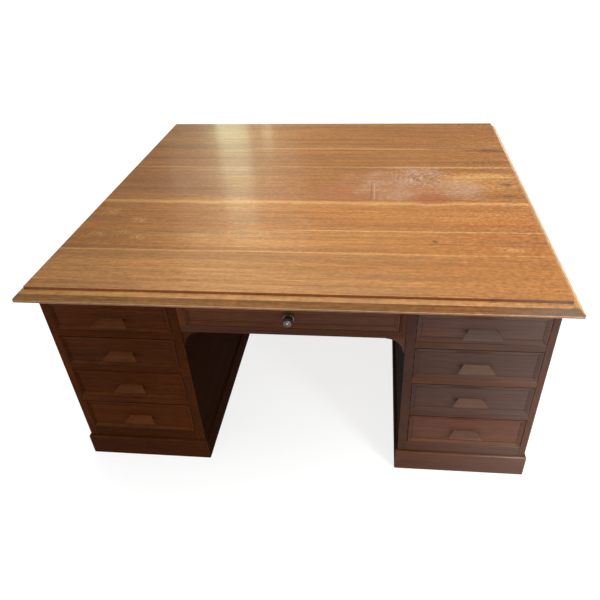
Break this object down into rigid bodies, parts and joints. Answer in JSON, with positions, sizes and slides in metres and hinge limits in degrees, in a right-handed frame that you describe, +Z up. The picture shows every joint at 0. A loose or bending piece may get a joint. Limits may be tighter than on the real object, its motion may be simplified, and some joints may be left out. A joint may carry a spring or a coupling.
{
  "type": "partners desk",
  "caption": "Oak partners desk with a boarded, moulded top, drawer pedestals that open on both long sides, centre drawers and an arched kneehole that passes right through.",
  "frame": {"origin": "on the floor, under the middle of the desk", "axes": "+X to the right of a person sitting at the front, +Y towards the rear side, +Z up"},
  "size_m": [1.648, 1.59, 0.77],
  "materials": {
    "oak_top": "worn waxed quarter-sawn oak",
    "oak_case": "dark stained waxed oak",
    "oak_front": "dark stained waxed oak",
    "drawer_lining": "plain unpolished oak",
    "dark_bronze": "dark patinated turned metal",
    "nickel": "worn nickel plate"
  },
  "bodies": {
    "carcass": {"top_boards": "oak_top", "top_edge_moulding": "oak_top", "top_frame": "oak_case", "left_outer_side_frame": "oak_case", "right_outer_side_frame": "oak_case", "outer_side_panels": "oak_case", "left_inner_side": "oak_case", "right_inner_side": "oak_case", "left_plinth": "oak_case", "right_plinth": "oak_case", "left_drawer_rails": "oak_case", "right_drawer_rails": "oak_case", "left_runners": "drawer_lining", "right_runners": "drawer_lining", "pedestal_bottoms": "drawer_lining", "partitions": "drawer_lining", "drawer_stops": "drawer_lining", "kneehole_rails": "oak_case", "kneehole_spandrels": "oak_case", "centre_runners": "drawer_lining"},
    "front_left_drawer_1": {"front_left_drawer_1_front": "oak_front", "front_left_drawer_1_box": "drawer_lining"},
    "front_left_drawer_2": {"front_left_drawer_2_front": "oak_front", "front_left_drawer_2_box": "drawer_lining"},
    "front_left_drawer_3": {"front_left_drawer_3_front": "oak_front", "front_left_drawer_3_box": "drawer_lining"},
    "front_left_drawer_4": {"front_left_drawer_4_front": "oak_front", "front_left_drawer_4_box": "drawer_lining"},
    "front_right_drawer_1": {"front_right_drawer_1_front": "oak_front", "front_right_drawer_1_box": "drawer_lining"},
    "front_right_drawer_2": {"front_right_drawer_2_front": "oak_front", "front_right_drawer_2_box": "drawer_lining"},
    "front_right_drawer_3": {"front_right_drawer_3_front": "oak_front", "front_right_drawer_3_box": "drawer_lining"},
    "front_right_drawer_4": {"front_right_drawer_4_front": "oak_front", "front_right_drawer_4_box": "drawer_lining"},
    "front_centre_drawer": {"front_centre_drawer_front": "oak_front", "front_centre_drawer_box": "drawer_lining", "front_centre_knob": "dark_bronze", "front_centre_lock": "nickel"},
    "rear_left_drawer_1": {"rear_left_drawer_1_front": "oak_front", "rear_left_drawer_1_box": "drawer_lining"},
    "rear_left_drawer_2": {"rear_left_drawer_2_front": "oak_front", "rear_left_drawer_2_box": "drawer_lining"},
    "rear_left_drawer_3": {"rear_left_drawer_3_front": "oak_front", "rear_left_drawer_3_box": "drawer_lining"},
    "rear_left_drawer_4": {"rear_left_drawer_4_front": "oak_front", "rear_left_drawer_4_box": "drawer_lining"},
    "rear_right_drawer_1": {"rear_right_drawer_1_front": "oak_front", "rear_right_drawer_1_box": "drawer_lining"},
    "rear_right_drawer_2": {"rear_right_drawer_2_front": "oak_front", "rear_right_drawer_2_box": "drawer_lining"},
    "rear_right_drawer_3": {"rear_right_drawer_3_front": "oak_front", "rear_right_drawer_3_box": "drawer_lining"},
    "rear_right_drawer_4": {"rear_right_drawer_4_front": "oak_front", "rear_right_drawer_4_box": "drawer_lining"},
    "rear_centre_drawer": {"rear_centre_drawer_front": "oak_front", "rear_centre_drawer_box": "drawer_lining", "rear_centre_knob": "dark_bronze", "rear_centre_lock": "nickel"}
  },
  "joints": [
    {"name": "front_left_drawer_1_slide", "type": "slide", "parent": "carcass", "child": "front_left_drawer_1", "axis": [0, -1, 0], "range_m": [0, 0.45]},
    {"name": "front_left_drawer_2_slide", "type": "slide", "parent": "carcass", "child": "front_left_drawer_2", "axis": [0, -1, 0], "range_m": [0, 0.45]},
    {"name": "front_left_drawer_3_slide", "type": "slide", "parent": "carcass", "child": "front_left_drawer_3", "axis": [0, -1, 0], "range_m": [0, 0.45]},
    {"name": "front_left_drawer_4_slide", "type": "slide", "parent": "carcass", "child": "front_left_drawer_4", "axis": [0, -1, 0], "range_m": [0, 0.45]},
    {"name": "front_right_drawer_1_slide", "type": "slide", "parent": "carcass", "child": "front_right_drawer_1", "axis": [0, -1, 0], "range_m": [0, 0.45]},
    {"name": "front_right_drawer_2_slide", "type": "slide", "parent": "carcass", "child": "front_right_drawer_2", "axis": [0, -1, 0], "range_m": [0, 0.45]},
    {"name": "front_right_drawer_3_slide", "type": "slide", "parent": "carcass", "child": "front_right_drawer_3", "axis": [0, -1, 0], "range_m": [0, 0.45]},
    {"name": "front_right_drawer_4_slide", "type": "slide", "parent": "carcass", "child": "front_right_drawer_4", "axis": [0, -1, 0], "range_m": [0, 0.45]},
    {"name": "front_centre_drawer_slide", "type": "slide", "parent": "carcass", "child": "front_centre_drawer", "axis": [0, -1, 0], "range_m": [0, 0.45]},
    {"name": "rear_left_drawer_1_slide", "type": "slide", "parent": "carcass", "child": "rear_left_drawer_1", "axis": [0, 1, 0], "range_m": [0, 0.45]},
    {"name": "rear_left_drawer_2_slide", "type": "slide", "parent": "carcass", "child": "rear_left_drawer_2", "axis": [0, 1, 0], "range_m": [0, 0.45]},
    {"name": "rear_left_drawer_3_slide", "type": "slide", "parent": "carcass", "child": "rear_left_drawer_3", "axis": [0, 1, 0], "range_m": [0, 0.45]},
    {"name": "rear_left_drawer_4_slide", "type": "slide", "parent": "carcass", "child": "rear_left_drawer_4", "axis": [0, 1, 0], "range_m": [0, 0.45]},
    {"name": "rear_right_drawer_1_slide", "type": "slide", "parent": "carcass", "child": "rear_right_drawer_1", "axis": [0, 1, 0], "range_m": [0, 0.45]},
    {"name": "rear_right_drawer_2_slide", "type": "slide", "parent": "carcass", "child": "rear_right_drawer_2", "axis": [0, 1, 0], "range_m": [0, 0.45]},
    {"name": "rear_right_drawer_3_slide", "type": "slide", "parent": "carcass", "child": "rear_right_drawer_3", "axis": [0, 1, 0], "range_m": [0, 0.45]},
    {"name": "rear_right_drawer_4_slide", "type": "slide", "parent": "carcass", "child": "rear_right_drawer_4", "axis": [0, 1, 0], "range_m": [0, 0.45]},
    {"name": "rear_centre_drawer_slide", "type": "slide", "parent": "carcass", "child": "rear_centre_drawer", "axis": [0, 1, 0], "range_m": [0, 0.45]}
  ]
}
